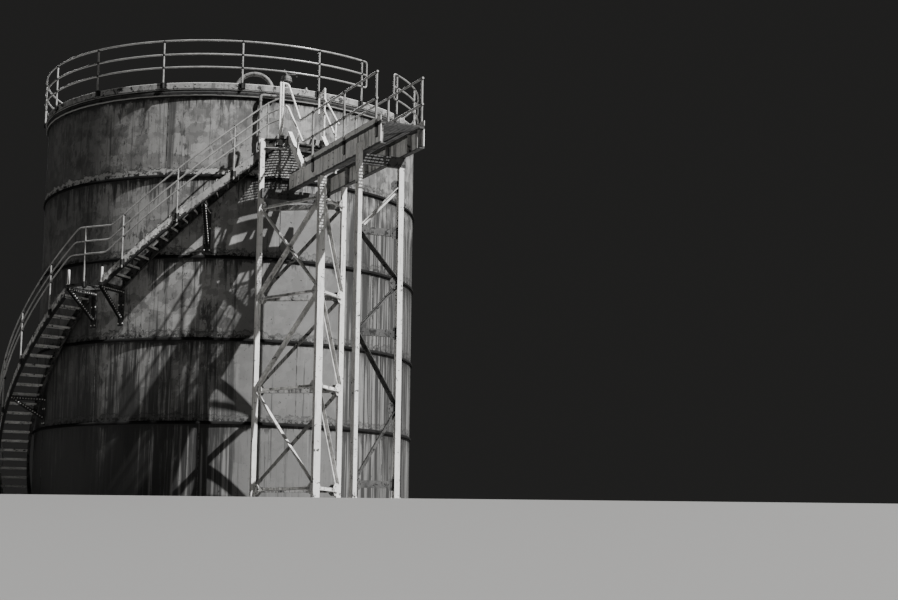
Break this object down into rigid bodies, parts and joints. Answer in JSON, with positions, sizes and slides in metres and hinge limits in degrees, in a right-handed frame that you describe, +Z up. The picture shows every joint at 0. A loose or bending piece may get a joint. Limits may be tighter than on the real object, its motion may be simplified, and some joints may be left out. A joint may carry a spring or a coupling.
{
  "type": "vertical storage tank",
  "caption": "Upright cylindrical steel storage tank with ringed seams, a curved stair round the shell, a roof handrail and a raised gangway on braced legs.",
  "frame": {"origin": "on the tank's upright axis, at the underside of its bottom plate", "axes": "+Z up; -Y towards the side with the stair head and gangway; +X to the right seen from there"},
  "size_m": [8.7064, 11.8989, 8.8162],
  "materials": {
    "shell": "weathered grey paint, mottled, with dark vertical rust streaks",
    "seam": "dark dirty paint with rust along the edges",
    "roof": "pale grey paint, worn and stained",
    "rail": "pale paint, worn to rust in places",
    "stair": "flaking pale paint over rust",
    "pale": "off-white paint with rust spots",
    "girder": "mid-grey paint with rust runs from the top edge",
    "pipe": "dull grey paint, stained"
  },
  "bodies": {
    "root": {"bottom_plate": "seam", "shell_course_1": "shell", "shell_course_2": "shell", "shell_course_3": "shell", "shell_course_4": "shell", "shell_course_5": "shell", "seam_ring_1": "seam", "seam_ring_2": "seam", "seam_ring_3": "seam", "seam_ring_4": "seam", "curb_ring": "seam", "roof_plate": "roof", "roof_edge_band": "roof", "swan_neck_pipe": "pipe", "roof_vent": "pipe", "vent_downpipe": "pipe", "roof_rail_1": "rail", "roof_rail_2": "rail", "roof_rail_3": "rail", "roof_rail_4": "rail", "roof_rail_5": "rail", "roof_rail_6": "rail", "stair_flight_lower": "stair", "stair_landing": "stair", "stair_flight_upper": "stair", "stair_bracket_1": "girder", "stair_bracket_2": "girder", "stair_bracket_3": "girder", "stair_bracket_4": "girder", "stair_rail_lower": "rail", "stair_rail_landing": "rail", "stair_rail_upper": "rail", "tower_leg_a": "pale", "tower_leg_b": "pale", "tower_leg_c": "pale", "tower_leg_d": "pale", "tower_leg_e": "pale", "tower_bracing_ab": "pale", "tower_bracing_bc": "pale", "tower_bracing_ac": "girder", "gangway_bracing_de": "girder", "stair_head_platform": "girder", "short_flight": "pale", "short_flight_rail_near": "pale", "short_flight_rail_far": "pale", "gangway_channel_near": "girder", "gangway_channel_far": "girder", "gangway_deck": "girder", "cross_beam_inner": "girder", "cross_beam_outer": "girder", "gangway_rail_near": "rail", "gangway_rail_far": "rail"}
  },
  "joints": []
}
